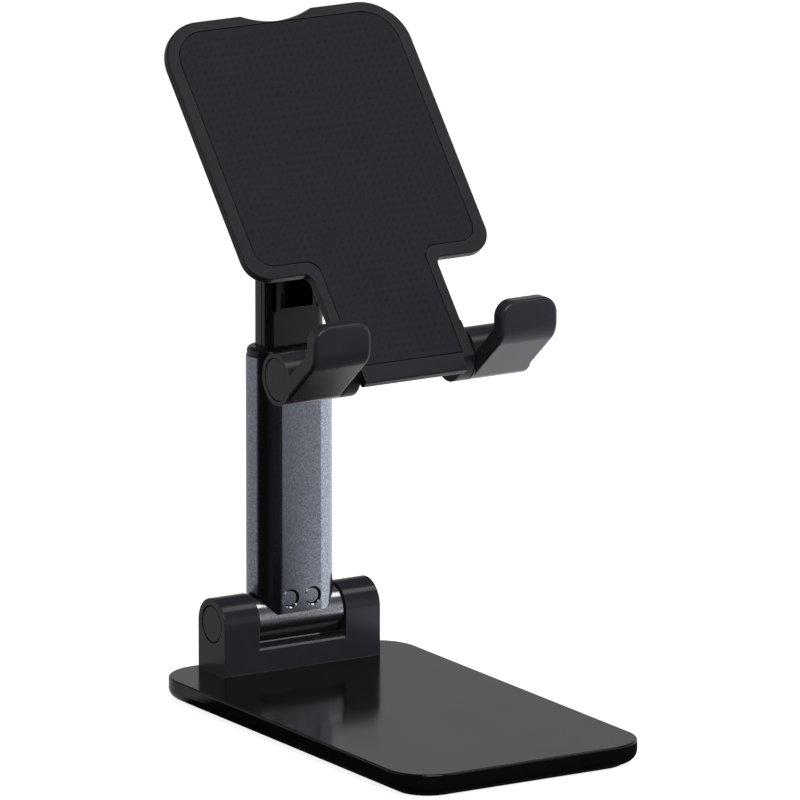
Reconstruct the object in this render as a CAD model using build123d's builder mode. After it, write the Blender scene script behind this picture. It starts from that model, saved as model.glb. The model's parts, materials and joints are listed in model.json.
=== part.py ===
from build123d import *
import math
import os

os.makedirs("parts", exist_ok=True)

# Folding phone stand.  Millimetres, +Z up, the origin at the middle of the base's underside.
# The user sits at -Y, +X is the user's right.  The stand is drawn ready for use: arm upright,
# plate leaning back, both hooks open.

# ---------------------------------------------------------------- base
base_width = 70.0
base_length = 124.0
base_top = 6.2
base_corner = 11.5
pad_thick = 0.8
base_roof = 1.4
base_lower_round = 2.65
base_upper_round = 0.5
rim_inset = 4.4
foot_pad_inset = 3.4
tray_thick = 1.0
weight_width = 58.0
weight_length = 86.0
weight_y = -6.5
weight_corner = 4.0
weight_gap = 0.1
foot_pad_round = 0.3
tray_gap = 0.15
boss_radius = 3.0
boss_in = 4.2
boss_spare = 0.6
tray_screw_radius = 0.95
tray_screw_long = 3.0
tray_head_radius = 2.15
tray_head_neck = 1.2
tray_head_high = 0.65
tray_slot = (0.5, 2.2, 0.3)

# ---------------------------------------------------------------- hinge at the rear of the base
hinge_y = 53.3
hinge_z = 18.56
bracket_round = 6.6
bracket_half = 22.7
notch_half = 12.7
notch_floor = 12.3
seat_gap = 0.35
axle_radius = 2.5
axle_half = 21.2
cap_radius = 4.6
cap_recess = 1.3
running = 0.05
bracket_edge = 0.35
lip_chamfer = 0.45
cap_gap = 0.25
cap_edge = 0.4
cap_play = 0.1
bracket_screw_radius = 2.0
bracket_screw_long = 8.0
bracket_head_radius = 3.5
bracket_head_high = 2.0
bracket_hex = 1.5
bracket_hex_deep = 1.1
pin_chamfer = 0.25
axle_chamfer = 0.3
fit_gap = 0.1
overcut = 1.0

# ---------------------------------------------------------------- arm
arm_width = 23.2
arm_depth = 12.0
arm_wall = 1.4
arm_top = 85.7
foot_half = 12.4
washer_thick = 0.2
washer_radius = 5.0
tongue_top = 28.2
cope_gap = 0.05
tube_bottom = hinge_z + 1.6
arm_bore_width = arm_width - 2 * arm_wall
arm_bore_depth = arm_depth - 2 * arm_wall
rivet_radius = 2.05
rivet_spread = 3.2
rivet_z = 23.9
rivet_sunk = 0.45
rivet_hole_edge = 0.3
collar_top = 88.0
collar_skirt = 66.3
collar_inset = 0.25
collar_round = 1.2
leaf_bottom = 68.5
leaf_top = 82.5
leaf_half = 3.0
leaf_thick = 0.3
leaf_rise = 0.5
leaf_gap = 0.1

# ---------------------------------------------------------------- sliding inner arm
inner_width = 17.0
inner_depth = 7.3
inner_corner = 2.0
inner_bottom = 44.0
slide_gap = 0.15
slot_half = 4.7
slot_floor = 97.7
slot_back_top = 114.0
slot_back_wall = 0.8
rib_outer = 5.8
pocket_outer = 7.35
pocket_floor = 97.0
pocket_deep = 4.5
pocket_round = 1.5
groove_width = 0.5
groove_deep = 0.45
groove_offsets = (-1.05, -2.55)
groove_top = 118.5
shoe_bottom = 38.0
shoe_top = 46.0
shoe_gap = 0.15
shoe_seat_gap = 0.03
shoe_pocket = (12.0, 5.0, 4.0)
lower_pivot_z = 123.2

# ---------------------------------------------------------------- plate (head)
lean = 40.15
plate_y = -7.53
plate_z = 91.46
plate_half = 35.0
plate_high = 104.0
plate_thick = 2.8
wing_bottom = 31.4
neck_half = 18.0
top_round = 12.0
wing_round = 6.5
neck_round = 2.0
corner_cut_in = 14.6
corner_cut_high = 3.7
rim_side = 3.3
rim_top = 2.7
rim_bottom = 4.7
rim_neck = 2.7
recess = 0.8
silicone_thick = 0.9
silicone_gap = 0.2
silicone_round = 0.25
bed_round = (9.0, 5.0, 3.4)
plate_rear_round = 1.0
plate_front_round = 0.4
thumb_half = 10.5
thumb_front = 2.6
thumb_back = 1.2
thumb_taper = 2.0

# ---------------------------------------------------------------- link between inner arm and plate
knuckle_up = 53.0
knuckle_back = 9.0
pin_radius = 1.6
pin_sunk = 0.3
eye_radius = 2.8
ear_gap = 2.5
ear_outer = 4.4
link_wide = 4.2
link_narrow = 2.3
link_half_thick = 2.2
shoulder = 5.0
knuckle_base = 2.2
knuckle_wide = 18.0
knuckle_tall = 10.0
knuckle_round = 2.0
knuckle_screw_x = 6.6
knuckle_screw_radius = 0.92
knuckle_screw_long = 2.8
knuckle_head_radius = 1.85
knuckle_head_high = 0.8
knuckle_sink = 0.9
knuckle_hex = 0.7
knuckle_hex_deep = 0.5
link_washer_thick = 0.4

# ---------------------------------------------------------------- hooks
hook_up = 7.1
hook_back = 5.9
hook_radius = 6.5
lug_inner = 14.5
lug_outer = 18.2
lug_set_back = 0.15
hook_inner = 18.65
hook_outer = 35.0
hook_seat = 4.0
lip_thick = 3.7
lip_front_y = -16.9
lip_top_z = 109.5
lip_edge = 1.0
bend_outer = 6.5
bend_inner = 3.0
lip_corner = 4.2
hook_pin_radius = 1.75
hook_cap_radius = 5.4
hook_well = 3.4
hook_cap_thick = 1.1
hook_cap_sunk = 0.2
hook_cap_edge = 0.3
hook_pin_start = 0.2
hook_head_radius = 3.2
hook_head_high = 1.0
hook_washer_radius = 4.6
hook_washer_play = 0.02

# ---------------------------------------------------------------- working planes
upward = (Align.CENTER, Align.CENTER, Align.MIN)
lean_rad = math.radians(lean)
up = (0, math.sin(lean_rad), math.cos(lean_rad))
back = (0, math.cos(lean_rad), -math.sin(lean_rad))
front = (0, -back[1], -back[2])
hinge_side = Plane(origin=(0, hinge_y, hinge_z), x_dir=(0, 1, 0), z_dir=(1, 0, 0))
# on the face plane: x is the object's X, y runs up the plate, z comes out of its front
face = Plane(origin=(0, plate_y, plate_z), x_dir=(1, 0, 0), z_dir=front)
# on the profile plane: x goes back from the plate's front, y runs up the plate, z is X
profile = Plane(origin=(0, plate_y, plate_z), x_dir=back, z_dir=(1, 0, 0))


def on_plate(go_back, go_up):
    """Y and Z of a point given by its distance behind the plate's front and its height up it."""
    y = plate_y + go_back * back[1] + go_up * up[1]
    z = plate_z + go_back * back[2] + go_up * up[2]
    return y, z


def finish(part, label):
    """Name a finished piece and write it out."""
    part.label = label
    export_step(part, f"parts/{label}.step")


def across_arm(spread, go_front):
    """A plane square to the arm's front, this far in front of its middle, at one rivet."""
    return Plane(origin=(spread, hinge_y - go_front, rivet_z), x_dir=(1, 0, 0), z_dir=(0, 1, 0))


# ================================================================ base
with BuildPart() as base_cover:
    with BuildSketch(Plane.XY.offset(pad_thick)):
        RectangleRounded(base_width, base_length, base_corner)
    extrude(amount=base_top - pad_thick)
    fillet(base_cover.faces().sort_by(Axis.Z)[0].edges(), base_lower_round)
    fillet(base_cover.faces().sort_by(Axis.Z)[-1].edges(), base_upper_round)
    with BuildSketch(Plane.XY.offset(pad_thick)):
        RectangleRounded(base_width - 2 * rim_inset, base_length - 2 * rim_inset, base_corner - rim_inset)
    extrude(amount=base_top - base_roof - pad_thick, mode=Mode.SUBTRACT)
    # four bosses for the tray screws
    boss_x = base_width / 2 - rim_inset - boss_in
    boss_y = base_length / 2 - rim_inset - boss_in
    with BuildSketch(Plane.XY.offset(pad_thick + tray_thick)):
        with GridLocations(2 * boss_x, 2 * boss_y, 2, 2):
            Circle(boss_radius)
    extrude(amount=base_top - base_roof - pad_thick - tray_thick)
    with Locations((0, 0, pad_thick + tray_thick)):
        with GridLocations(2 * boss_x, 2 * boss_y, 2, 2):
            Cylinder(tray_screw_radius + running, tray_screw_long - tray_thick + boss_spare, align=upward,
                     mode=Mode.SUBTRACT)
    # holes for the bracket screws
    ear_middle = (bracket_half + notch_half) / 2
    with Locations((0, hinge_y, base_top)):
        with GridLocations(2 * ear_middle, 1, 2, 1):
            Cylinder(bracket_screw_radius + fit_gap, 2 * base_roof + overcut, mode=Mode.SUBTRACT)
finish(base_cover.part, "base_cover")

with BuildPart() as base_tray:
    with BuildSketch(Plane.XY.offset(pad_thick)):
        tray_inset = rim_inset + tray_gap
        RectangleRounded(base_width - 2 * tray_inset, base_length - 2 * tray_inset, base_corner - tray_inset)
    extrude(amount=tray_thick)
    with Locations((0, 0, pad_thick)):
        with GridLocations(2 * boss_x, 2 * boss_y, 2, 2):
            Cylinder(tray_head_neck + fit_gap, tray_thick, align=upward, mode=Mode.SUBTRACT)
            Cone(tray_head_radius + tray_gap, tray_head_neck + fit_gap, tray_head_high + running,
                 align=upward, mode=Mode.SUBTRACT)
finish(base_tray.part, "base_tray")

with BuildPart() as tray_screws:
    with Locations((0, 0, pad_thick + running)):
        with GridLocations(2 * boss_x, 2 * boss_y, 2, 2):
            Cone(tray_head_radius, tray_head_neck, tray_head_high, align=upward)
            Cylinder(tray_screw_radius, tray_screw_long, align=upward)
            Box(*tray_slot, align=upward, mode=Mode.SUBTRACT)
finish(tray_screws.part, "tray_screws")

with BuildPart() as counterweight:
    with BuildSketch(Plane.XY.offset(pad_thick + tray_thick)):
        with Locations((0, weight_y)):
            RectangleRounded(weight_width, weight_length, weight_corner)
    extrude(amount=base_top - base_roof - pad_thick - tray_thick - weight_gap)
finish(counterweight.part, "counterweight")

with BuildPart() as anti_slip_pad:
    with BuildSketch():
        RectangleRounded(base_width - 2 * foot_pad_inset, base_length - 2 * foot_pad_inset,
                         base_corner - foot_pad_inset)
    extrude(amount=pad_thick)
    fillet(anti_slip_pad.faces().sort_by(Axis.Z)[0].edges(), foot_pad_round)
finish(anti_slip_pad.part, "anti_slip_pad")

# ================================================================ hinge bracket and its axle
with BuildPart() as hinge_bracket:
    with BuildSketch(hinge_side.offset(-bracket_half)):
        Circle(bracket_round)
        with Locations((0, (base_top - hinge_z) / 2)):
            Rectangle(2 * bracket_round, hinge_z - base_top)
    extrude(amount=2 * bracket_half)
    outer_edges = hinge_bracket.faces().filter_by(Axis.X).edges()
    fillet(outer_edges.filter_by(lambda e: e.center().Z > base_top + fit_gap), bracket_edge)
    # the notch between the ears, with a round seat that clears the arm's barrel
    with Locations((0, hinge_y, notch_floor)):
        Box(2 * notch_half, 2 * bracket_round + overcut, 3 * bracket_round, align=upward, mode=Mode.SUBTRACT)
    with BuildSketch(hinge_side.offset(-notch_half)):
        Circle(arm_depth / 2 + seat_gap)
    extrude(amount=2 * notch_half, mode=Mode.SUBTRACT)
    lips = hinge_bracket.edges().filter_by(Axis.X).filter_by(
        lambda e: abs(e.center().Z - notch_floor) < fit_gap and abs(e.center().Y - hinge_y) > arm_depth / 2)
    chamfer(lips, lip_chamfer)
    # the axle's bore, and a well for each end cap
    with BuildSketch(hinge_side.offset(-bracket_half)):
        Circle(axle_radius)
    extrude(amount=2 * bracket_half, mode=Mode.SUBTRACT)
    for end in (-1, 1):
        with BuildSketch(hinge_side.offset(end * bracket_half)):
            Circle(cap_radius + cap_gap)
        extrude(amount=-end * cap_recess, mode=Mode.SUBTRACT)
    # tapped holes from below
    with Locations((0, hinge_y, base_top)):
        with GridLocations(2 * ear_middle, 1, 2, 1):
            Cylinder(bracket_screw_radius + running, bracket_screw_long + fit_gap, align=upward,
                     mode=Mode.SUBTRACT)
finish(hinge_bracket.part, "hinge_bracket")

with BuildPart() as bracket_screws:
    with Locations((0, hinge_y, base_top - base_roof)):
        with GridLocations(2 * ear_middle, 1, 2, 1):
            Cylinder(bracket_head_radius, bracket_head_high, align=(Align.CENTER, Align.CENTER, Align.MAX))
            Cylinder(bracket_screw_radius, base_roof + bracket_screw_long, align=upward)
    with BuildSketch(Plane.XY.offset(base_top - base_roof - bracket_head_high)):
        with Locations((ear_middle, hinge_y), (-ear_middle, hinge_y)):
            RegularPolygon(bracket_hex, 6)
    extrude(amount=bracket_hex_deep, mode=Mode.SUBTRACT)
finish(bracket_screws.part, "bracket_screws")

with BuildPart() as hinge_axle:
    with BuildSketch(hinge_side.offset(-axle_half)):
        Circle(axle_radius)
    extrude(amount=2 * axle_half)
    chamfer(hinge_axle.edges(), axle_chamfer)
finish(hinge_axle.part, "hinge_axle")

for end, name in ((-1, "left"), (1, "right")):
    with BuildPart() as axle_cap:
        with BuildSketch(hinge_side.offset(end * (bracket_half - cap_recess + cap_play))):
            Circle(cap_radius)
        extrude(amount=end * (cap_recess - 2 * cap_play))
        outer_face = axle_cap.faces().sort_by(Axis.X)[-1 if end > 0 else 0]
        fillet(outer_face.edges(), cap_edge)
    finish(axle_cap.part, f"axle_cap_{name}")

# ================================================================ arm
with BuildPart() as arm_foot:
    with BuildSketch(hinge_side.offset(-foot_half)):
        Circle(arm_depth / 2)
    extrude(amount=2 * foot_half)
    chamfer(arm_foot.edges().filter_by(GeomType.CIRCLE), axle_chamfer)
    with BuildSketch(Plane.XY.offset(hinge_z)):
        with Locations((0, hinge_y)):
            SlotOverall(arm_bore_width - 2 * fit_gap, arm_bore_depth - 2 * fit_gap)
    extrude(amount=tongue_top - hinge_z)
    with BuildSketch(hinge_side.offset(-foot_half)):
        Circle(axle_radius + running)
    extrude(amount=2 * foot_half, mode=Mode.SUBTRACT)
    for spread in (-rivet_spread, rivet_spread):
        with BuildSketch(across_arm(spread, arm_depth)):
            Circle(rivet_radius)
        extrude(amount=2 * arm_depth, mode=Mode.SUBTRACT)
finish(arm_foot.part, "arm_foot")

with BuildPart() as arm_tube:
    with BuildSketch(Plane.XY.offset(tube_bottom)):
        with Locations((0, hinge_y)):
            SlotOverall(arm_width, arm_depth)
            SlotOverall(arm_bore_width, arm_bore_depth, mode=Mode.SUBTRACT)
    extrude(amount=arm_top - tube_bottom)
    # coped to sit on the barrel
    with BuildSketch(hinge_side.offset(-foot_half)):
        Circle(arm_depth / 2 + cope_gap)
    extrude(amount=2 * foot_half, mode=Mode.SUBTRACT)
    for spread in (-rivet_spread, rivet_spread):
        with BuildSketch(across_arm(spread, arm_depth)):
            Circle(rivet_radius + fit_gap)
        extrude(amount=2 * arm_depth, mode=Mode.SUBTRACT)
    rings = arm_tube.edges().filter_by(GeomType.CIRCLE)
    rivet_rings = rings.filter_by(lambda e: abs(e.center().Z - rivet_z) < fit_gap)
    hole_rims = rivet_rings.filter_by(lambda e: abs(abs(e.center().Y - hinge_y) - arm_depth / 2) < fit_gap)
    chamfer(hole_rims, rivet_hole_edge)
finish(arm_tube.part, "arm_tube")

with BuildPart() as arm_rivets:
    for spread in (-rivet_spread, rivet_spread):
        with BuildSketch(across_arm(spread, arm_depth / 2 - rivet_sunk)):
            Circle(rivet_radius)
        extrude(amount=arm_depth - 2 * rivet_sunk)
    chamfer(arm_rivets.edges().filter_by(GeomType.CIRCLE), pin_chamfer)
finish(arm_rivets.part, "arm_rivets")

with BuildPart() as foot_washers:
    for end in (-1, 1):
        with BuildSketch(hinge_side.offset(end * (foot_half + running))):
            Circle(washer_radius)
            Circle(axle_radius + running, mode=Mode.SUBTRACT)
        extrude(amount=end * washer_thick)
finish(foot_washers.part, "foot_washers")

with BuildPart() as tube_collar:
    with BuildSketch(Plane.XY.offset(arm_top)):
        with Locations((0, hinge_y)):
            SlotOverall(arm_width - 2 * collar_inset, arm_depth - 2 * collar_inset)
    extrude(amount=collar_top - arm_top)
    fillet(tube_collar.faces().sort_by(Axis.Z)[-1].edges(), collar_round)
    with BuildSketch(Plane.XY.offset(collar_skirt)):
        with Locations((0, hinge_y)):
            SlotOverall(arm_bore_width - 2 * fit_gap, arm_bore_depth - 2 * fit_gap)
    extrude(amount=arm_top - collar_skirt)
    with BuildSketch(Plane.XY.offset(collar_skirt)):
        with Locations((0, hinge_y)):
            RectangleRounded(inner_width + 2 * slide_gap, inner_depth + 2 * slide_gap,
                             inner_corner + slide_gap)
    extrude(amount=collar_top - collar_skirt, mode=Mode.SUBTRACT)
    # a window in the rear of the skirt for the friction leaf
    with Locations((0, hinge_y + inner_depth / 2 + slide_gap, leaf_bottom - leaf_gap)):
        Box(2 * (leaf_half + leaf_gap), arm_wall, leaf_top - leaf_bottom + 2 * leaf_gap,
            align=(Align.CENTER, Align.MIN, Align.MIN), mode=Mode.SUBTRACT)
finish(tube_collar.part, "tube_collar")

# a bowed strip between the tube's rear wall and the inner arm
leaf_tube_side = hinge_y + arm_bore_depth / 2 - running
leaf_middle = (leaf_bottom + leaf_top) / 2
with BuildPart() as friction_leaf:
    with BuildSketch(Plane.YZ.offset(-leaf_half)):
        with BuildLine():
            ThreePointArc((leaf_tube_side, leaf_bottom), (leaf_tube_side - leaf_rise, leaf_middle),
                          (leaf_tube_side, leaf_top))
            Line((leaf_tube_side, leaf_top), (leaf_tube_side - leaf_thick, leaf_top))
            ThreePointArc((leaf_tube_side - leaf_thick, leaf_top),
                          (leaf_tube_side - leaf_thick - leaf_rise, leaf_middle),
                          (leaf_tube_side - leaf_thick, leaf_bottom))
            Line((leaf_tube_side - leaf_thick, leaf_bottom), (leaf_tube_side, leaf_bottom))
        make_face()
    extrude(amount=2 * leaf_half)
finish(friction_leaf.part, "friction_leaf")

# ================================================================ inner arm
inner_front = hinge_y - inner_depth / 2
with BuildPart() as inner_arm:
    with BuildSketch(Plane.XY.offset(inner_bottom)):
        with Locations((0, hinge_y)):
            RectangleRounded(inner_width, inner_depth, inner_corner)
    extrude(amount=lower_pivot_z - inner_bottom)
    with BuildSketch(Plane.YZ.offset(-inner_width / 2)):
        with Locations((hinge_y, lower_pivot_z)):
            Circle(inner_depth / 2)
    extrude(amount=inner_width)
    # the slot that the link and the plate's knuckle fold into
    with Locations((0, inner_front - overcut, slot_floor)):
        Box(2 * slot_half, inner_depth + overcut - slot_back_wall, slot_back_top - slot_floor + overcut,
            align=(Align.CENTER, Align.MIN, Align.MIN), mode=Mode.SUBTRACT)
    with Locations((0, hinge_y, slot_back_top)):
        Box(2 * slot_half, 2 * inner_depth, lower_pivot_z + inner_depth - slot_back_top,
            align=upward, mode=Mode.SUBTRACT)
    # a narrow pocket in each cheek, which leaves a slender rib beside the slot
    for end in (-1, 1):
        pocket_face = Plane(origin=(0, inner_front - overcut, 0), x_dir=(1, 0, 0), z_dir=(0, -1, 0))
        with BuildSketch(pocket_face) as pocket:
            with Locations((end * (rib_outer + pocket_outer) / 2, (pocket_floor + slot_back_top) / 2)):
                Rectangle(pocket_outer - rib_outer, slot_back_top - pocket_floor)
            low_corner = pocket.vertices().filter_by(
                lambda v: v.Y < pocket_floor + fit_gap and abs(v.X) > pocket_outer - fit_gap)
            fillet(low_corner, pocket_round)
        extrude(amount=-pocket_deep - overcut, mode=Mode.SUBTRACT)
    # two fine grooves down each side
    for end in (-1, 1):
        for offset_y in groove_offsets:
            with Locations((end * inner_width / 2, hinge_y + offset_y, inner_bottom)):
                Box(2 * groove_deep, groove_width, groove_top - inner_bottom, align=upward,
                    mode=Mode.SUBTRACT)
    with BuildSketch(Plane.YZ.offset(-inner_width / 2)):
        with Locations((hinge_y, lower_pivot_z)):
            Circle(pin_radius)
    extrude(amount=inner_width, mode=Mode.SUBTRACT)
finish(inner_arm.part, "inner_arm")

with BuildPart() as slide_shoe:
    with BuildSketch(Plane.XY.offset(shoe_bottom)):
        with Locations((0, hinge_y)):
            SlotOverall(arm_bore_width - 2 * shoe_gap, arm_bore_depth - 2 * shoe_gap)
    extrude(amount=shoe_top - shoe_bottom)
    with BuildSketch(Plane.XY.offset(inner_bottom)):
        with Locations((0, hinge_y)):
            RectangleRounded(inner_width + 2 * shoe_seat_gap, inner_depth + 2 * shoe_seat_gap, inner_corner)
    extrude(amount=shoe_top - inner_bottom, mode=Mode.SUBTRACT)
    with Locations((0, hinge_y, shoe_bottom)):
        Box(*shoe_pocket, align=upward, mode=Mode.SUBTRACT)
finish(slide_shoe.part, "slide_shoe")

with BuildPart() as lower_link_pin:
    with BuildSketch(Plane.YZ.offset(-inner_width / 2 + pin_sunk)):
        with Locations((hinge_y, lower_pivot_z)):
            Circle(pin_radius)
    extrude(amount=inner_width - 2 * pin_sunk)
    chamfer(lower_link_pin.edges().filter_by(GeomType.CIRCLE), pin_chamfer)
finish(lower_link_pin.part, "lower_link_pin")

# ================================================================ link
upper_y, upper_z = on_plate(knuckle_back, knuckle_up)
link_run_y = upper_y - hinge_y
link_run_z = upper_z - lower_pivot_z
link_length = math.hypot(link_run_y, link_run_z)
link_dir = (0, link_run_y / link_length, link_run_z / link_length)
# on the link's plane: x runs from the lower pin to the upper one, z is X
link_plane = Plane(origin=(0, hinge_y, lower_pivot_z), x_dir=link_dir, z_dir=(1, 0, 0))
with BuildPart() as head_link:
    with BuildSketch(link_plane.offset(-link_wide)):
        Circle(eye_radius)
        with Locations(((link_length - shoulder) / 2, 0)):
            Rectangle(link_length - shoulder, 2 * link_half_thick)
    extrude(amount=2 * link_wide)
    with BuildSketch(link_plane.offset(-link_narrow)):
        with Locations((link_length, 0)):
            Circle(eye_radius)
        with Locations((link_length - (shoulder + overcut) / 2, 0)):
            Rectangle(shoulder + overcut, 2 * link_half_thick)
    extrude(amount=2 * link_narrow)
    with BuildSketch(link_plane.offset(-link_wide)):
        with Locations((0, 0), (link_length, 0)):
            Circle(pin_radius + running)
    extrude(amount=2 * link_wide, mode=Mode.SUBTRACT)
finish(head_link.part, "head_link")

with BuildPart() as link_washers:
    for end in (-1, 1):
        with BuildSketch(link_plane.offset(end * (link_wide + running))):
            Circle(eye_radius)
            Circle(pin_radius + running, mode=Mode.SUBTRACT)
        extrude(amount=end * link_washer_thick)
finish(link_washers.part, "link_washers")

# ================================================================ plate
def plate_sketch(plane, side_in, top_in, wing_in, neck_in, bottom, top_r, wing_r, neck_r):
    """The plate's T shape, drawn in from its edges by the given amounts."""
    half = plate_half - side_in
    low = wing_bottom + wing_in
    high = plate_high - top_in
    neck = neck_half - neck_in
    with BuildSketch(plane) as outline:
        with Locations((0, (high + low) / 2)):
            Rectangle(2 * half, high - low)
        with Locations((0, (low + overcut + bottom) / 2)):
            Rectangle(2 * neck, low + overcut - bottom)
        fillet(outline.vertices().group_by(Axis.Y)[-1], top_r)
        wing_tips = outline.vertices().filter_by(
            lambda v: abs(v.Y - low) < fit_gap and abs(v.X) > half - overcut)
        fillet(wing_tips, wing_r)
        neck_roots = outline.vertices().filter_by(
            lambda v: abs(v.Y - low) < fit_gap and abs(abs(v.X) - neck) < fit_gap)
        fillet(neck_roots, neck_r)
    return outline.sketch


def thumb_segment(plane, depth, wide):
    """The shallow scoop in the plate's top edge, as one slice of it."""
    with BuildSketch(plane) as scoop:
        with BuildLine():
            ThreePointArc((-wide, plate_high), (0, plate_high - depth), (wide, plate_high))
            above = plate_high + overcut
            Polyline((wide, plate_high), (wide, above), (-wide, above), (-wide, plate_high))
        make_face()
    return scoop.sketch


thumb_cut = loft([
    thumb_segment(face.offset(0.01), thumb_front, thumb_half),
    thumb_segment(face.offset(-plate_thick - 0.01), thumb_back, thumb_half - thumb_taper),
])

with BuildPart() as plate_shell:
    extrude(plate_sketch(face, 0, 0, 0, 0, 0, top_round, wing_round, neck_round), amount=-plate_thick)
    rear_edges = plate_shell.faces().sort_by(Axis(origin=(0, 0, 0), direction=back))[-1].edges()
    fillet(rear_edges, plate_rear_round)
    front_edges = plate_shell.faces().sort_by(Axis(origin=(0, 0, 0), direction=back))[0].edges()
    fillet(front_edges, plate_front_round)
    add(thumb_cut, mode=Mode.SUBTRACT)
    # the neck's lower corners are cut away in front of the hook lugs
    for end in (-1, 1):
        with BuildSketch(face.offset(overcut)):
            with Locations((end * (neck_half + overcut), (corner_cut_high - overcut) / 2)):
                Rectangle(2 * (neck_half + overcut - corner_cut_in), corner_cut_high + overcut)
        extrude(amount=-plate_thick - 2 * overcut, mode=Mode.SUBTRACT)
    # the two lugs that carry the hooks, rounded behind the neck
    for end in (-1, 1):
        with BuildSketch(profile.offset(end * lug_inner)):
            with Locations((hook_back, hook_up)):
                Circle(hook_radius)
            with Locations(((hook_back + lug_set_back) / 2, hook_up + hook_radius / 2)):
                Rectangle(hook_back - lug_set_back, hook_radius)
            with Locations((lug_set_back - hook_radius, hook_up)):
                Rectangle(2 * hook_radius, 3 * hook_radius, mode=Mode.SUBTRACT)
        extrude(amount=end * (lug_outer - lug_inner))
        with BuildSketch(profile.offset(end * lug_inner)):
            with Locations((hook_back, hook_up)):
                Circle(hook_pin_radius)
        extrude(amount=end * (lug_outer - lug_inner), mode=Mode.SUBTRACT)
    # the bed for the silicone sheet
    bed = plate_sketch(face, rim_side, rim_top, rim_side, rim_neck, rim_bottom, *bed_round)
    extrude(bed, amount=-recess, mode=Mode.SUBTRACT)
    # screw holes for the knuckle
    with BuildSketch(face.offset(-plate_thick)):
        with Locations((-knuckle_screw_x, knuckle_up), (knuckle_screw_x, knuckle_up)):
            Circle(knuckle_screw_radius + running)
    extrude(amount=knuckle_screw_long - knuckle_base + knuckle_sink + running, mode=Mode.SUBTRACT)
finish(plate_shell.part, "plate_shell")

with BuildPart() as silicone_pad:
    sheet = plate_sketch(face.offset(-recess), rim_side + silicone_gap, rim_top + silicone_gap,
                         rim_side + silicone_gap, rim_neck + silicone_gap, rim_bottom + silicone_gap,
                         *[r - silicone_gap for r in bed_round])
    extrude(sheet, amount=silicone_thick)
    pad_front = silicone_pad.faces().sort_by(Axis(origin=(0, 0, 0), direction=back))[0]
    fillet(pad_front.edges(), silicone_round)
finish(silicone_pad.part, "silicone_pad")

# ================================================================ knuckle on the plate's back
with BuildPart() as head_knuckle:
    with BuildSketch(face.offset(-plate_thick)):
        with Locations((0, knuckle_up)):
            RectangleRounded(knuckle_wide, knuckle_tall, knuckle_round)
    extrude(amount=-knuckle_base)
    for end in (-1, 1):
        with BuildSketch(profile.offset(end * ear_gap)):
            with Locations((knuckle_back, knuckle_up)):
                Circle(eye_radius)
            with Locations(((knuckle_back + plate_thick + overcut) / 2, knuckle_up)):
                Rectangle(knuckle_back - plate_thick - overcut, 2 * eye_radius)
        extrude(amount=end * (ear_outer - ear_gap))
    with BuildSketch(profile.offset(-ear_outer)):
        with Locations((knuckle_back, knuckle_up)):
            Circle(pin_radius)
    extrude(amount=2 * ear_outer, mode=Mode.SUBTRACT)
    for end in (-1, 1):
        with BuildSketch(face.offset(-plate_thick)):
            with Locations((end * knuckle_screw_x, knuckle_up)):
                Circle(knuckle_screw_radius + fit_gap)
        extrude(amount=-knuckle_base, mode=Mode.SUBTRACT)
        with BuildSketch(face.offset(-plate_thick - knuckle_base)):
            with Locations((end * knuckle_screw_x, knuckle_up)):
                Circle(knuckle_head_radius + fit_gap)
        extrude(amount=knuckle_sink, mode=Mode.SUBTRACT)
finish(head_knuckle.part, "head_knuckle")

screw_seat = -plate_thick - knuckle_base + knuckle_sink
with BuildPart() as knuckle_screws:
    with BuildSketch(face.offset(screw_seat)):
        with Locations((-knuckle_screw_x, knuckle_up), (knuckle_screw_x, knuckle_up)):
            Circle(knuckle_head_radius)
    extrude(amount=-knuckle_head_high)
    with BuildSketch(face.offset(screw_seat)):
        with Locations((-knuckle_screw_x, knuckle_up), (knuckle_screw_x, knuckle_up)):
            Circle(knuckle_screw_radius)
    extrude(amount=knuckle_screw_long)
    with BuildSketch(face.offset(screw_seat - knuckle_head_high)):
        with Locations((-knuckle_screw_x, knuckle_up), (knuckle_screw_x, knuckle_up)):
            RegularPolygon(knuckle_hex, 6)
    extrude(amount=knuckle_hex_deep, mode=Mode.SUBTRACT)
finish(knuckle_screws.part, "knuckle_screws")

with BuildPart() as upper_link_pin:
    with BuildSketch(profile.offset(-ear_outer)):
        with Locations((knuckle_back, knuckle_up)):
            Circle(pin_radius)
    extrude(amount=2 * ear_outer)
    chamfer(upper_link_pin.edges().filter_by(GeomType.CIRCLE), pin_chamfer)
finish(upper_link_pin.part, "upper_link_pin")

# ================================================================ hooks
def crossing(y_wanted, go_up):
    """How far behind the plate's front a line at one Y stands, at a height up the plate."""
    return (y_wanted - plate_y - go_up * up[1]) / back[1]


def height_on_lip(z_wanted, y_wanted):
    """The profile point at one Y and Z."""
    dy = y_wanted - plate_y
    dz = z_wanted - plate_z
    return dy * back[1] + dz * back[2], dy * up[1] + dz * up[2]


seat_low = hook_up - hook_radius
seat_high = seat_low + hook_seat
lip_back_y = lip_front_y + lip_thick
outer_bend = (crossing(lip_front_y, seat_low), seat_low)
inner_bend = (crossing(lip_back_y, seat_high), seat_high)
lip_tip_front = height_on_lip(lip_top_z, lip_front_y)
lip_tip_back = height_on_lip(lip_top_z, lip_back_y)

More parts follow.
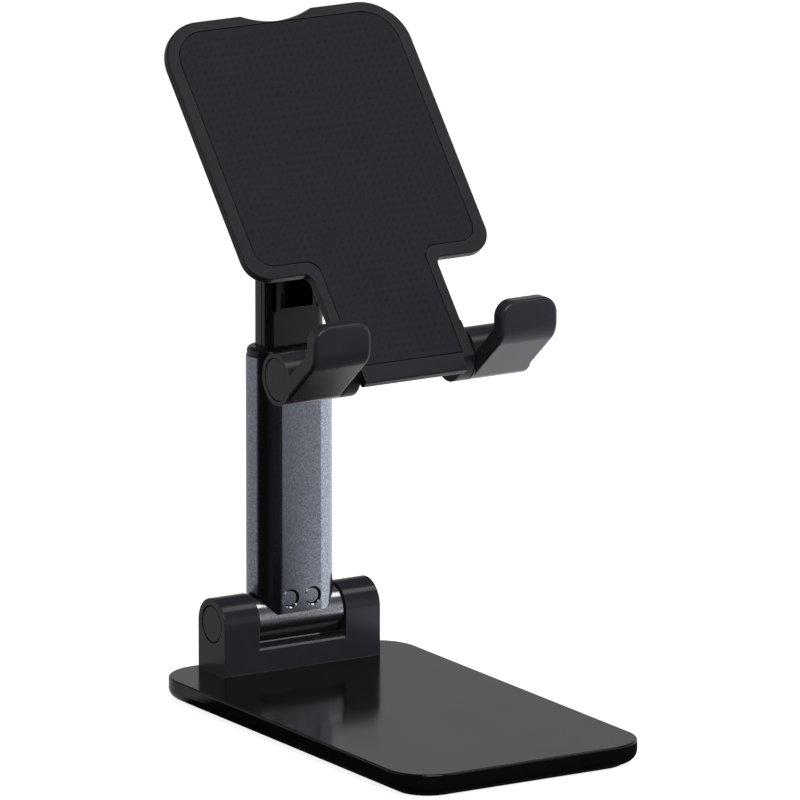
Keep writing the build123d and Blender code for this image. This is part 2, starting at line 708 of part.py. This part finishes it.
for end, name in ((-1, "left"), (1, "right")):
    length = hook_outer - hook_inner
    with BuildPart() as hook:
        with BuildSketch(profile.offset(end * hook_inner)):
            with BuildLine():
                FilletPolyline((hook_back, seat_low), outer_bend, lip_tip_front, radius=bend_outer)
                Line(lip_tip_front, lip_tip_back)
                FilletPolyline(lip_tip_back, inner_bend, (hook_back, seat_high), radius=bend_inner)
                Line((hook_back, seat_high), (hook_back, seat_low))
            make_face()
        extrude(amount=end * length)
        # round the lip's two upper corners, then soften its edges
        tip_faces = hook.faces().filter_by(Axis.Z).sort_by(Axis.Z)
        tip_ends = tip_faces[-1].edges().filter_by(Axis.Y)
        fillet(tip_ends, lip_corner)
        tip_front = hook.edges().filter_by(
            lambda e: abs(e.center().Y - lip_front_y) < fit_gap and e.center().Z > lip_top_z - lip_corner)
        fillet(tip_front, lip_edge)
        with BuildSketch(profile.offset(end * hook_inner)):
            with Locations((hook_back, hook_up)):
                Circle(hook_radius)
        extrude(amount=end * length)
        # a well in the barrel's outer end, and the bore for the pin
        with BuildSketch(profile.offset(end * hook_outer)):
            with Locations((hook_back, hook_up)):
                Circle(hook_cap_radius + fit_gap)
        extrude(amount=-end * hook_well, mode=Mode.SUBTRACT)
        with BuildSketch(profile.offset(end * hook_inner)):
            with Locations((hook_back, hook_up)):
                Circle(hook_pin_radius + running)
        extrude(amount=end * length, mode=Mode.SUBTRACT)
    finish(hook.part, f"hook_{name}")

    with BuildPart() as hook_pin:
        with BuildSketch(profile.offset(end * (lug_inner + hook_pin_start))):
            with Locations((hook_back, hook_up)):
                Circle(hook_pin_radius)
        extrude(amount=end * (hook_outer - hook_well + fit_gap - lug_inner - hook_pin_start))
        with BuildSketch(profile.offset(end * (hook_outer - hook_well + fit_gap))):
            with Locations((hook_back, hook_up)):
                Circle(hook_head_radius)
        extrude(amount=end * hook_head_high)
    finish(hook_pin.part, f"hook_pin_{name}")

    with BuildPart() as hook_cap:
        with BuildSketch(profile.offset(end * (hook_outer - hook_cap_sunk))):
            with Locations((hook_back, hook_up)):
                Circle(hook_cap_radius)
        extrude(amount=-end * hook_cap_thick)
        cap_face = hook_cap.faces().sort_by(Axis.X)[-1 if end > 0 else 0]
        fillet(cap_face.edges(), hook_cap_edge)
    finish(hook_cap.part, f"hook_cap_{name}")

    with BuildPart() as hook_washer:
        with BuildSketch(profile.offset(end * (lug_outer + hook_washer_play))):
            with Locations((hook_back, hook_up)):
                Circle(hook_washer_radius)
                Circle(hook_pin_radius + running, mode=Mode.SUBTRACT)
        extrude(amount=end * (hook_inner - lug_outer - 2 * hook_washer_play))
    finish(hook_washer.part, f"hook_washer_{name}")
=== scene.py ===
import json
import math

import bmesh
import bpy
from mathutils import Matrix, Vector


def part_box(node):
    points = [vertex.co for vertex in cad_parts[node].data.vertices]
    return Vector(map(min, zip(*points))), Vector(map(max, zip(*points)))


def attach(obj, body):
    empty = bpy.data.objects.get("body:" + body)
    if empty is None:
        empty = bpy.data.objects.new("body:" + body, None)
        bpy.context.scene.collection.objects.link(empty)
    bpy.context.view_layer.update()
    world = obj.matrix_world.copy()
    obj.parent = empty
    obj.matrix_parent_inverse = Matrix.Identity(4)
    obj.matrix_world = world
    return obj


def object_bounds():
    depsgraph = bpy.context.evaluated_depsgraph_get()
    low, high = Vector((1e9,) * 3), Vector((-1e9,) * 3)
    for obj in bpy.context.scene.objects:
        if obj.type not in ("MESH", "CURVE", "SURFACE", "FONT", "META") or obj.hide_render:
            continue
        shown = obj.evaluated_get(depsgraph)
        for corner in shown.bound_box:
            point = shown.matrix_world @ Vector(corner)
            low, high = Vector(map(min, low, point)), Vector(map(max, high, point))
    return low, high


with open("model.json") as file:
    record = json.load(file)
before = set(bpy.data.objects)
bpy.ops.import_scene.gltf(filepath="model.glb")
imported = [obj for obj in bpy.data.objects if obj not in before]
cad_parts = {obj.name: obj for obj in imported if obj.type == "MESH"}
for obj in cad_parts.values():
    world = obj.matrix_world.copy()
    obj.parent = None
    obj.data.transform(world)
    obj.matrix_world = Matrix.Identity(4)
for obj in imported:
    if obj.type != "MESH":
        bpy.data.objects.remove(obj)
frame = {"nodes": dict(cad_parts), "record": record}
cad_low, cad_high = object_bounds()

# Folding phone stand: a weighted gloss base, a hinged and telescoping arm, a leaning plate with a
# silicone face, and two folding hooks.  The lengths below are in millimetres; MM turns them to metres.
MM = 0.001
nodes = frame["nodes"]
scene = bpy.context.scene
centre = (cad_low + cad_high) / 2


def direction(azimuth, elevation):
    """The way from the stand to a place round it; azimuth 0 is the user's side and 90 the right."""
    a, e = math.radians(azimuth), math.radians(elevation)
    return Vector((math.sin(a) * math.cos(e), -math.cos(a) * math.cos(e), math.sin(e)))


# ---------------------------------------------------------------- camera
VIEW_AZIMUTH = -31.57
VIEW_ELEVATION = 13.35
VIEW_DISTANCE = 3726.6
VIEW_LENS = 681.6
AIM_OFFSET = Vector((-0.40, -0.13, -1.33))


def make_camera():
    data = bpy.data.cameras.new("view")
    data.sensor_width = 36.0
    data.lens = VIEW_LENS
    data.clip_start = 0.1
    data.clip_end = 100.0
    camera = bpy.data.objects.new("view", data)
    scene.collection.objects.link(camera)
    back = direction(VIEW_AZIMUTH, VIEW_ELEVATION)
    camera.location = centre + (AIM_OFFSET + back * VIEW_DISTANCE) * MM
    camera.rotation_mode = "QUATERNION"
    camera.rotation_quaternion = (-back).to_track_quat("-Z", "Y")
    scene.camera = camera


make_camera()


# ---------------------------------------------------------------- node helpers
def add_node(tree, kind, inputs=None, **settings):
    """A shader node with its settings made and its sockets set or linked."""
    made = tree.nodes.new(kind)
    for name, value in settings.items():
        setattr(made, name, value)
    for socket, value in (inputs or {}).items():
        if isinstance(value, bpy.types.NodeSocket):
            tree.links.new(value, made.inputs[socket])
        else:
            made.inputs[socket].default_value = value
    return made


def math_node(tree, operation, first, second=None):
    inputs = {0: first} if second is None else {0: first, 1: second}
    return add_node(tree, "ShaderNodeMath", inputs, operation=operation).outputs[0]


def vector_math(tree, operation, first, second=None, output=0):
    """A vector operation; output is 0 for its vector and "Value" for its number."""
    inputs = {0: first} if second is None else {0: first, 1: second}
    return add_node(tree, "ShaderNodeVectorMath", inputs, operation=operation).outputs[output]


def remap(tree, value, low, high, to_low, to_high):
    """A value stretched from one range to another, held at both ends."""
    inputs = {"Value": value, "From Min": low, "From Max": high, "To Min": to_low, "To Max": to_high}
    return add_node(tree, "ShaderNodeMapRange", inputs).outputs["Result"]


def noise(tree, where, scale, detail=2.0, roughness=0.5):
    inputs = {"Vector": where, "Scale": scale, "Detail": detail, "Roughness": roughness}
    return add_node(tree, "ShaderNodeTexNoise", inputs).outputs["Fac"]


def blend_colour(tree, mask, first, second):
    """One colour turning to another where the mask is high."""
    mix = add_node(tree, "ShaderNodeMix", data_type="RGBA")
    tree.links.new(mask, mix.inputs["Factor"])
    for socket, colour in ((6, first), (7, second)):
        if isinstance(colour, bpy.types.NodeSocket):
            tree.links.new(colour, mix.inputs[socket])
        else:
            mix.inputs[socket].default_value = (*colour, 1.0)
    return mix.outputs[2]


def new_effect(name, inputs, outputs):
    """An empty shader group with number sockets."""
    tree = bpy.data.node_groups.new(name, "ShaderNodeTree")
    for label, start in inputs.items():
        socket = tree.interface.new_socket(name=label, in_out="INPUT", socket_type="NodeSocketFloat")
        socket.default_value = start
    for label in outputs:
        tree.interface.new_socket(name=label, in_out="OUTPUT", socket_type="NodeSocketFloat")
    return tree, add_node(tree, "NodeGroupInput").outputs, add_node(tree, "NodeGroupOutput").inputs


def use_effect(tree, group, **values):
    """A group placed in a material, with its own values."""
    made = add_node(tree, "ShaderNodeGroup", node_tree=group)
    for label, value in values.items():
        made.inputs[label.replace("_", " ").capitalize()].default_value = value
    return made.outputs


# ---------------------------------------------------------------- effects that several finishes share
PER_METRE = 1000.0  # a texture scale for a size in millimetres is this divided by the size
FINE_SHARE = 0.7
PIT_SHARE = 0.3
SWELL_SHARE = 0.4
SPECKS_PER_METRE = 2600.0


def make_grain():
    """Spark-eroded mould grain: small pits on a gently uneven skin."""
    tree, given, out = new_effect("mould_grain", {"Size": 0.3, "Swell": 8.0}, ("Height", "Tone"))
    where = add_node(tree, "ShaderNodeTexCoord").outputs["Object"]
    fine_scale = math_node(tree, "DIVIDE", PER_METRE, given["Size"])
    swell_scale = math_node(tree, "DIVIDE", PER_METRE, given["Swell"])
    fine = noise(tree, where, fine_scale, 3.0, 0.6)
    pits = add_node(tree, "ShaderNodeTexVoronoi", {"Vector": where, "Scale": fine_scale}).outputs["Distance"]
    swell = noise(tree, where, swell_scale, 2.0)
    grain = math_node(tree, "ADD", math_node(tree, "MULTIPLY", fine, FINE_SHARE),
                      math_node(tree, "MULTIPLY", pits, PIT_SHARE))
    swelling = math_node(tree, "MULTIPLY", swell, SWELL_SHARE)
    tree.links.new(math_node(tree, "ADD", grain, swelling), out["Height"])
    tree.links.new(remap(tree, math_node(tree, "ADD", grain, swell), 0.6, 1.3, 0.0, 1.0), out["Tone"])
    return tree


def make_edge_wear_and_highlight():
    """A mask that is high along outside edges, broken up so that the line is uneven; it marks rubbed wear and
    also a painted edge highlight.
    """
    tree, given, out = new_effect("edge_wear_and_highlight", {"Width": 0.35, "Breakup": 2.5}, ("Mask",))
    radius = math_node(tree, "MULTIPLY", given["Width"], MM)
    rounded = add_node(tree, "ShaderNodeBevel", {"Radius": radius}, samples=4).outputs["Normal"]
    flat = add_node(tree, "ShaderNodeNewGeometry").outputs["Normal"]
    same = vector_math(tree, "DOT_PRODUCT", rounded, flat, "Value")
    turned = remap(tree, same, 0.995, 0.90, 0.0, 1.0)
    where = add_node(tree, "ShaderNodeTexCoord").outputs["Object"]
    breakup = noise(tree, where, math_node(tree, "DIVIDE", PER_METRE, given["Breakup"]), 3.0, 0.65)
    uneven = remap(tree, breakup, 0.35, 0.65, 0.25, 1.0)
    # The edge mask stands partly for rubbed wear and partly for a painted highlight along the edges.
    tree.links.new(math_node(tree, "MULTIPLY", turned, uneven), out["Mask"])
    return tree


def make_handling():
    """Where hands and dust have left a faint bloom: wide soft patches with fine specks in them."""
    tree, given, out = new_effect("handling", {"Patch": 18.0}, ("Mask",))
    where = add_node(tree, "ShaderNodeTexCoord").outputs["Object"]
    patches = noise(tree, where, math_node(tree, "DIVIDE", PER_METRE, given["Patch"]), 3.0, 0.55)
    specks = noise(tree, where, SPECKS_PER_METRE, 1.0)
    soft = remap(tree, patches, 0.40, 0.72, 0.0, 1.0)
    tree.links.new(math_node(tree, "MULTIPLY", soft, remap(tree, specks, 0.3, 0.7, 0.4, 1.0)), out["Mask"])
    return tree


def make_blast():
    """Bead-blasted metal: overlapping small craters, some bright and some dull."""
    tree, given, out = new_effect("bead_blast", {"Size": 0.35}, ("Height", "Tone"))
    where = add_node(tree, "ShaderNodeTexCoord").outputs["Object"]
    scale = math_node(tree, "DIVIDE", PER_METRE, given["Size"])
    craters = add_node(tree, "ShaderNodeTexVoronoi", {"Vector": where, "Scale": scale}, feature="SMOOTH_F1")
    speckle = noise(tree, where, scale, 2.0, 0.7)
    tree.links.new(craters.outputs["Distance"], out["Height"])
    tree.links.new(remap(tree, speckle, 0.30, 0.70, 0.0, 1.0), out["Tone"])
    return tree


def make_tool_marks():
    """Fine rings and lines that a lathe or a rolling mill leaves, drawn out along X."""
    tree, given, out = new_effect("tool_marks", {"Pitch": 0.12, "Stretch": 30.0}, ("Height", "Tone"))
    where = add_node(tree, "ShaderNodeTexCoord").outputs["Object"]
    parts = add_node(tree, "ShaderNodeSeparateXYZ", {0: where}).outputs
    across = math_node(tree, "DIVIDE", PER_METRE, given["Pitch"])
    along = math_node(tree, "DIVIDE", across, given["Stretch"])
    drawn = add_node(tree, "ShaderNodeCombineXYZ", {
        "X": math_node(tree, "MULTIPLY", parts["X"], across),
        "Y": math_node(tree, "MULTIPLY", parts["Y"], along),
        "Z": math_node(tree, "MULTIPLY", parts["Z"], along)}).outputs[0]
    lines = noise(tree, drawn, 1.0, 2.0, 0.6)
    tree.links.new(lines, out["Height"])
    tree.links.new(remap(tree, lines, 0.3, 0.7, 0.0, 1.0), out["Tone"])
    return tree


grain_effect = make_grain()
wear_and_highlight_effect = make_edge_wear_and_highlight()
handling_effect = make_handling()
blast_effect = make_blast()
marks_effect = make_tool_marks()


# ---------------------------------------------------------------- finishes
PIT_DARKER = 0.8
BLOOM_ROUGHER = 0.06
OIL_ROUGHER = 0.15
BLAST_SPREAD = 0.06
DUST_SHARE = 0.25
DUST_LIGHTER = 1.5


def new_finish(name, **sockets):
    """A material with its Principled shader; sockets that are the same all over are set here."""
    material = bpy.data.materials.new(name)
    material.use_nodes = True
    tree = material.node_tree
    shader = tree.nodes["Principled BSDF"]
    for label, value in sockets.items():
        shader.inputs[label.replace("_", " ")].default_value = value
    return material, tree, shader


def set_bump(tree, shader, height, depth):
    """Relief of this depth in millimetres, from a height that runs from 0 to 1."""
    bump = add_node(tree, "ShaderNodeBump", {"Height": height, "Distance": depth * MM, "Strength": 1.0})
    tree.links.new(bump.outputs["Normal"], shader.inputs["Normal"])


def moulded_plastic(name, colour, worn_and_highlit, rough, grain_size, grain_depth, level=0.5, wear_and_highlight_width=0.35, patch=18.0):
    """Black moulding: a fine grain, a faint bloom from handling, and edges painted lighter, partly as rubbed
    wear and partly as a painted edge highlight.
    """
    material, tree, shader = new_finish(name, Specular_IOR_Level=level)
    grain = use_effect(tree, grain_effect, size=grain_size)
    bloom = use_effect(tree, handling_effect, patch=patch)["Mask"]
    rubbed_and_highlit = use_effect(tree, wear_and_highlight_effect, width=wear_and_highlight_width)["Mask"]
    deep = [c * PIT_DARKER for c in colour]
    skin = blend_colour(tree, grain["Tone"], deep, colour)
    # Edges painted lighter: partly rubbed wear, partly a painted edge highlight.
    tree.links.new(blend_colour(tree, rubbed_and_highlit, skin, worn_and_highlit), shader.inputs["Base Color"])
    dull = math_node(tree, "ADD", remap(tree, grain["Tone"], 0.0, 1.0, rough * 0.9, rough * 1.1),
                     math_node(tree, "MULTIPLY", bloom, BLOOM_ROUGHER))
    tree.links.new(dull, shader.inputs["Roughness"])
    set_bump(tree, shader, grain["Height"], grain_depth)
    return material


def silicone_rubber(name, colour, light, rough, grain_size, grain_depth):
    """Matt rubber with a velvety skin."""
    material, tree, shader = new_finish(name, Specular_IOR_Level=0.25, Sheen_Weight=0.03, Sheen_Roughness=0.4)
    grain = use_effect(tree, grain_effect, size=grain_size)
    bloom = use_effect(tree, handling_effect, patch=25.0)["Mask"]
    skin = blend_colour(tree, grain["Tone"], colour, light)
    dusty = [c * DUST_LIGHTER for c in light]
    dust = math_node(tree, "MULTIPLY", bloom, DUST_SHARE)
    tree.links.new(blend_colour(tree, dust, skin, dusty), shader.inputs["Base Color"])
    tree.links.new(remap(tree, grain["Tone"], 0.0, 1.0, rough, rough + 0.12), shader.inputs["Roughness"])
    set_bump(tree, shader, grain["Height"], grain_depth)
    return material


def blasted_metal(name, dull_colour, bright_colour, worn_and_highlit, rough, size, depth):
    """Bead-blasted and anodised aluminium, with a bright colour along the edges: partly bare metal rubbed
    through, partly a painted edge highlight.
    """
    material, tree, shader = new_finish(name, Metallic=1.0)
    blast = use_effect(tree, blast_effect, size=size)
    rubbed_and_highlit = use_effect(tree, wear_and_highlight_effect, width=0.25, breakup=1.2)["Mask"]
    body = blend_colour(tree, blast["Tone"], dull_colour, bright_colour)
    # Edges painted bright: partly bare metal rubbed through, partly a painted edge highlight.
    tree.links.new(blend_colour(tree, rubbed_and_highlit, body, worn_and_highlit), shader.inputs["Base Color"])
    dull = remap(tree, blast["Tone"], 0.0, 1.0, rough + BLAST_SPREAD, rough - BLAST_SPREAD)
    tree.links.new(dull, shader.inputs["Roughness"])
    set_bump(tree, shader, blast["Height"], depth)
    return material


def machined_metal(name, dull_colour, bright_colour, rough, pitch, depth, stretch=30.0):
    """Turned or rolled metal with its tool marks."""
    material, tree, shader = new_finish(name, Metallic=1.0)
    marks = use_effect(tree, marks_effect, pitch=pitch, stretch=stretch)
    bloom = use_effect(tree, handling_effect, patch=6.0)["Mask"]
    body = blend_colour(tree, marks["Tone"], dull_colour, bright_colour)
    tree.links.new(body, shader.inputs["Base Color"])
    dull = math_node(tree, "ADD", remap(tree, marks["Tone"], 0.0, 1.0, rough + 0.08, rough - 0.04),
                     math_node(tree, "MULTIPLY", bloom, OIL_ROUGHER))
    tree.links.new(dull, shader.inputs["Roughness"])
    set_bump(tree, shader, marks["Height"], depth)
    return material


finishes = {
    "gloss_cover": moulded_plastic("gloss_cover", (0.0065, 0.0055, 0.0075), (0.050, 0.047, 0.055),
                                   0.12, 0.9, 0.0012, level=0.33, wear_and_highlight_width=0.3, patch=30.0),
    "satin_bracket": moulded_plastic("satin_bracket", (0.036, 0.032, 0.041), (0.12, 0.115, 0.125),
                                     0.17, 0.35, 0.0015, level=0.28, wear_and_highlight_width=0.3),
    "satin_plate": moulded_plastic("satin_plate", (0.016, 0.014, 0.020), (0.06, 0.057, 0.066),
                                   0.36, 0.28, 0.004, level=0.22, wear_and_highlight_width=0.4),
    "satin_hook": moulded_plastic("satin_hook", (0.041, 0.037, 0.047), (0.12, 0.115, 0.125),
                                  0.20, 0.35, 0.002, level=0.24, wear_and_highlight_width=0.35),
    "arm_moulding": moulded_plastic("arm_moulding", (0.024, 0.022, 0.028), (0.12, 0.115, 0.125),
                                    0.20, 0.30, 0.002, level=0.42, wear_and_highlight_width=0.35),
    "collar_moulding": moulded_plastic("collar_moulding", (0.016, 0.014, 0.018), (0.08, 0.078, 0.085),
                                       0.28, 0.25, 0.004, level=0.40),
    "inner_moulding": moulded_plastic("inner_moulding", (0.016, 0.015, 0.018), (0.05, 0.05, 0.053),
                                      0.45, 0.40, 0.010, level=0.4),
    "nylon": moulded_plastic("nylon", (0.060, 0.058, 0.055), (0.14, 0.135, 0.13),
                             0.5, 0.45, 0.008, level=0.4),
    "face_silicone": silicone_rubber("face_silicone", (0.013, 0.011, 0.016), (0.020, 0.018, 0.024),
                                     0.60, 0.30, 0.008),
    "foot_silicone": silicone_rubber("foot_silicone", (0.018, 0.017, 0.019), (0.030, 0.029, 0.031),
                                     0.68, 0.60, 0.030),
    "tube_aluminium": blasted_metal("tube_aluminium", (0.17, 0.19, 0.225), (0.42, 0.45, 0.50),
                                    (0.72, 0.73, 0.76), 0.16, 0.42, 0.003),
    "barrel_aluminium": blasted_metal("barrel_aluminium", (0.25, 0.26, 0.28), (0.52, 0.53, 0.56),
                                      (0.75, 0.75, 0.77), 0.20, 0.35, 0.003),
    "rivet_aluminium": blasted_metal("rivet_aluminium", (0.19, 0.21, 0.24), (0.42, 0.45, 0.50),
                                     (0.70, 0.71, 0.74), 0.24, 0.35, 0.003),
    "turned_steel": machined_metal("turned_steel", (0.42, 0.42, 0.43), (0.66, 0.66, 0.67),
                                   0.24, 0.10, 0.003),
    "spring_steel": machined_metal("spring_steel", (0.38, 0.37, 0.36), (0.60, 0.59, 0.57),
                                   0.22, 0.20, 0.002),
    "rolled_steel": machined_metal("rolled_steel", (0.30, 0.30, 0.31), (0.47, 0.47, 0.48),
                                   0.42, 0.50, 0.010, 60.0),
}

wears = {
    "gloss_cover": ["base_cover"],
    "satin_bracket": ["hinge_bracket", "axle_cap_left", "axle_cap_right"],
    "satin_plate": ["plate_shell"],
    "satin_hook": ["hook_left", "hook_right", "hook_cap_left", "hook_cap_right"],
    "arm_moulding": ["inner_arm", "head_link"],
    "collar_moulding": ["tube_collar"],
    "inner_moulding": ["base_tray", "head_knuckle"],
    "nylon": ["slide_shoe", "foot_washers", "link_washers", "hook_washer_left", "hook_washer_right"],
    "face_silicone": ["silicone_pad"],
    "foot_silicone": ["anti_slip_pad"],
    "tube_aluminium": ["arm_tube"],
    "barrel_aluminium": ["arm_foot"],
    "rivet_aluminium": ["arm_rivets"],
    "turned_steel": ["tray_screws", "bracket_screws", "hinge_axle", "lower_link_pin", "upper_link_pin",
                     "knuckle_screws", "hook_pin_left", "hook_pin_right"],
    "spring_steel": ["friction_leaf"],
    "rolled_steel": ["counterweight"],
}


def dress(piece, finish):
    """Put one finish on a piece."""
    piece.data.materials.clear()
    piece.data.materials.append(finishes[finish])


for finish, names in wears.items():
    for name in names:
        dress(nodes[name], finish)


# ---------------------------------------------------------------- the silicone face's raised grains
GRAIN_PITCH = 2.12
GRAIN_LONG = 0.78
GRAIN_WIDE = 0.36
GRAIN_HIGH = 0.12
GRAIN_SUNK = 0.03
GRAIN_SIDES = 10
GRAIN_MARGIN = 0.95
GRAIN_TURN = math.radians(38)
GRAIN_PROFILE = ((1.0, 0.0), (0.72, 0.72), (0.30, 0.97))
PROBE_ABOVE = 10.0
PROBE_REACH = 12.0


def make_pad_grains():
    """Low oval grains, slanted up to the right, in rows over the whole silicone face."""
    mount = next(m for m in frame["record"]["mounts"] if m["name"] == "phone_face")
    front = Vector(mount["axis"]).normalized()
    right = Vector((1.0, 0.0, 0.0))
    up = front.cross(right)
    pad = nodes["silicone_pad"]
    low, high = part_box("silicone_pad")
    middle = Vector(mount["pos_m"])
    reach_x = (high.x - low.x) / 2
    reach_up = (high - low).length / 2

    def skin_at(x, y):
        """The point of the pad's front face at a place on it, or None off the face."""
        start = middle + right * x + up * y + front * PROBE_ABOVE * MM
        hit, place, normal, _ = pad.ray_cast(start, -front, distance=PROBE_REACH * MM)
        return place if hit and normal.dot(front) > 0.999 else None

    mesh = bmesh.new()
    steps_x = int(reach_x / MM / GRAIN_PITCH)
    steps_up = int(reach_up / MM / GRAIN_PITCH)
    reach = GRAIN_MARGIN * MM
    long_way = right * math.cos(GRAIN_TURN) + up * math.sin(GRAIN_TURN)
    wide_way = up * math.cos(GRAIN_TURN) - right * math.sin(GRAIN_TURN)
    for i in range(-steps_x, steps_x + 1):
        for j in range(-steps_up, steps_up + 1):
            x, y = i * GRAIN_PITCH * MM, j * GRAIN_PITCH * MM
            spot = skin_at(x, y)
            around = [skin_at(x + dx, y + dy) for dx in (-reach, reach) for dy in (-reach, reach)]
            if spot is None or None in around:
                continue
            rings = []
            for size, rise in GRAIN_PROFILE:
                ring = []
                for k in range(GRAIN_SIDES):
                    a = 2 * math.pi * k / GRAIN_SIDES
                    place = spot + long_way * (GRAIN_LONG * size * math.cos(a) * MM)
                    place += wide_way * (GRAIN_WIDE * size * math.sin(a) * MM)
                    place += front * ((GRAIN_HIGH * rise - GRAIN_SUNK) * MM)
                    ring.append(mesh.verts.new(place))
                rings.append(ring)
            for lower, upper in zip(rings, rings[1:]):
                for k in range(GRAIN_SIDES):
                    n = (k + 1) % GRAIN_SIDES
                    mesh.faces.new((lower[k], lower[n], upper[n], upper[k]))
            mesh.faces.new(rings[-1])
            mesh.faces.new(list(reversed(rings[0])))
    bmesh.ops.recalc_face_normals(mesh, faces=mesh.faces)
    data = bpy.data.meshes.new("silicone_grains")
    mesh.to_mesh(data)
    mesh.free()
    for face in data.polygons:
        face.use_smooth = True
    piece = bpy.data.objects.new("silicone_grains", data)
    scene.collection.objects.link(piece)
    dress(piece, "face_silicone")
    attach(piece, "plate")


make_pad_grains()


# ---------------------------------------------------------------- floor and light
# The room glows by direction, and so does the floor, as seen from the arm's foot.  An edge is the cosine
# of the angle to the dim side.  The light is fixed in the room, and stays put when the camera moves.
FLOOR_REACH = 30.0
FLOOR_GAP = 0.05
FLOOR_SHEET = 0.88
LEFT_GLOW = 0.45
RIGHT_GLOW = 1.35
WHITE = (1.0, 1.0, 1.0, 1.0)
PAPER = (0.8, 0.8, 0.8, 1.0)
DIM_SIDE = direction(VIEW_AZIMUTH, 0.0)
BRIGHT_SIDE = direction(VIEW_AZIMUTH + 90.0, 0.0)
ARM_FOOT = Vector((0.0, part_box("arm_tube")[0].y, 0.0))
DIM_EDGE = 0.50
BRIGHT_EDGE = 0.35
FLOOR_DIM = 0.02
FLOOR_BRIGHT = 0.95
PAPER_GLOW = (0.97, 0.95, 1.0, 1.0)
ROOM_GLOW = (0.98, 0.955, 1.0, 1.0)
ROOM_DIM_EDGE = 0.60
ROOM_BRIGHT_EDGE = 0.44
ROOM_DIM = 0.02
BACK_SHARE = 0.68
HORIZON_TOP = 0.20
CEILING_LOW = 0.50
HORIZON_GLOW = 0.75
CEILING_GLOW = 0.14


def make_floor():
    """A pale floor, plain to the camera; the light it throws is dim on one side and bright on the right."""
    data = bpy.data.meshes.new("floor")
    reach = FLOOR_REACH
    corners = [(-reach, -reach, 0), (reach, -reach, 0), (reach, reach, 0), (-reach, reach, 0)]
    data.from_pydata(corners, [], [(0, 1, 2, 3)])
    floor = bpy.data.objects.new("floor", data)
    scene.collection.objects.link(floor)
    floor.location.z = -FLOOR_GAP * MM
    material = bpy.data.materials.new("pale_floor")
    material.use_nodes = True
    tree = material.node_tree
    tree.nodes.remove(tree.nodes["Principled BSDF"])
    where = add_node(tree, "ShaderNodeTexCoord").outputs["Object"]
    way = vector_math(tree, "NORMALIZE", vector_math(tree, "SUBTRACT", where, ARM_FOOT))
    facing = vector_math(tree, "DOT_PRODUCT", way, DIM_SIDE, "Value")
    front = remap(tree, facing, DIM_EDGE, BRIGHT_EDGE, FLOOR_DIM, FLOOR_BRIGHT)
    sideways = vector_math(tree, "DOT_PRODUCT", way, BRIGHT_SIDE, "Value")
    lit = math_node(tree, "MULTIPLY", front, remap(tree, sideways, -0.3, 0.3, LEFT_GLOW, RIGHT_GLOW))
    seen = add_node(tree, "ShaderNodeLightPath").outputs["Is Camera Ray"]
    glow = add_node(tree, "ShaderNodeEmission", {"Color": PAPER_GLOW, "Strength": lit})
    sheet = add_node(tree, "ShaderNodeEmission", {"Color": WHITE, "Strength": FLOOR_SHEET})
    paper = add_node(tree, "ShaderNodeBsdfDiffuse", {"Color": PAPER})
    pale = add_node(tree, "ShaderNodeAddShader", {0: sheet.outputs[0], 1: paper.outputs[0]})
    choose = add_node(tree, "ShaderNodeMixShader", {0: seen, 1: glow.outputs[0], 2: pale.outputs[0]})
    tree.links.new(choose.outputs[0], tree.nodes["Material Output"].inputs["Surface"])
    data.materials.append(material)


def make_world():
    """A pale studio: bright behind the stand and at its sides, dim on the camera's side."""
    world = bpy.data.worlds.new("studio")
    world.use_nodes = True
    tree = world.node_tree
    out = tree.nodes["World Output"]
    glow = tree.nodes["Background"]
    where = add_node(tree, "ShaderNodeTexCoord").outputs["Generated"]
    facing = vector_math(tree, "DOT_PRODUCT", where, DIM_SIDE, "Value")
    height = add_node(tree, "ShaderNodeSeparateXYZ", {0: where}).outputs["Z"]
    front = remap(tree, facing, ROOM_DIM_EDGE, ROOM_BRIGHT_EDGE, ROOM_DIM, 1.0)
    back = remap(tree, facing, 0.20, -0.70, 1.0, BACK_SHARE)
    level = remap(tree, height, HORIZON_TOP, CEILING_LOW, HORIZON_GLOW, CEILING_GLOW)
    bright = math_node(tree, "MULTIPLY", math_node(tree, "MULTIPLY", front, back), level)
    tree.links.new(bright, glow.inputs["Strength"])
    glow.inputs["Color"].default_value = ROOM_GLOW
    seen = add_node(tree, "ShaderNodeLightPath").outputs["Is Camera Ray"]
    backdrop = add_node(tree, "ShaderNodeBackground", {"Color": WHITE, "Strength": 1.0})
    choose = add_node(tree, "ShaderNodeMixShader", {0: seen, 1: glow.outputs[0], 2: backdrop.outputs[0]})
    tree.links.new(choose.outputs[0], out.inputs["Surface"])
    scene.world = world


def make_softbox(name, azimuth, elevation, away, width, height, watts):
    """A rectangular soft light, aimed at the middle of the stand.  Its sizes are in metres."""
    data = bpy.data.lights.new(name, "AREA")
    data.shape = "RECTANGLE"
    data.size = width
    data.size_y = height
    data.energy = watts
    light = bpy.data.objects.new(name, data)
    scene.collection.objects.link(light)
    way = direction(azimuth, elevation)
    light.location = centre + way * away
    light.rotation_mode = "QUATERNION"
    light.rotation_quaternion = way.to_track_quat("Z", "Y")
    light.visible_camera = False


make_floor()
make_world()
make_softbox("top_softbox", azimuth=66.0, elevation=56.0, away=1.0, width=0.3, height=0.3, watts=0.8)
make_softbox("front_fill", azimuth=-15.0, elevation=42.0, away=1.2, width=0.8, height=0.6, watts=9.0)
scene.view_settings.view_transform = "Standard"
